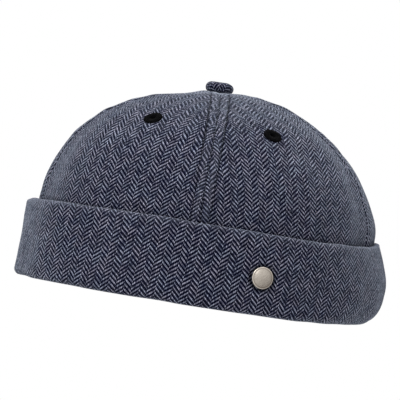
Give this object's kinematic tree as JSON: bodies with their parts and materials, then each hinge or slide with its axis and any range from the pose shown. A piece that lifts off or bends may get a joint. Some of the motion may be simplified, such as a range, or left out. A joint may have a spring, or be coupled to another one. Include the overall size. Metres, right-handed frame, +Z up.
{
  "type": "docker cap",
  "caption": "Brimless round docker cap of herringbone tweed: sewn gores with embroidered eyelets, a covered top button, a turned-up cuff and a bare metal stud.",
  "frame": {"origin": "on the surface the cap rests on, under the middle of its bounding box", "axes": "+Z up to the button, -Y towards the front seam, +X towards the wearer's left, where the stud is"},
  "size_m": [0.1904, 0.2071, 0.1136],
  "materials": {
    "tweed": "woven wool herringbone in navy and pale grey, slightly fuzzy",
    "thread": "black satin-stitched embroidery",
    "metal": "pale nickel, softly brushed, bare"
  },
  "bodies": {
    "root": {"panel_front_left": "tweed", "panel_front_right": "tweed", "panel_side_left": "tweed", "panel_side_right": "tweed", "panel_back_left": "tweed", "panel_back_right": "tweed", "eyelet_front_left": "thread", "eyelet_front_right": "thread", "eyelet_side_left": "thread", "eyelet_side_right": "thread", "eyelet_back_left": "thread", "eyelet_back_right": "thread", "button": "tweed", "cuff": "tweed", "stud": "metal"}
  },
  "joints": []
}
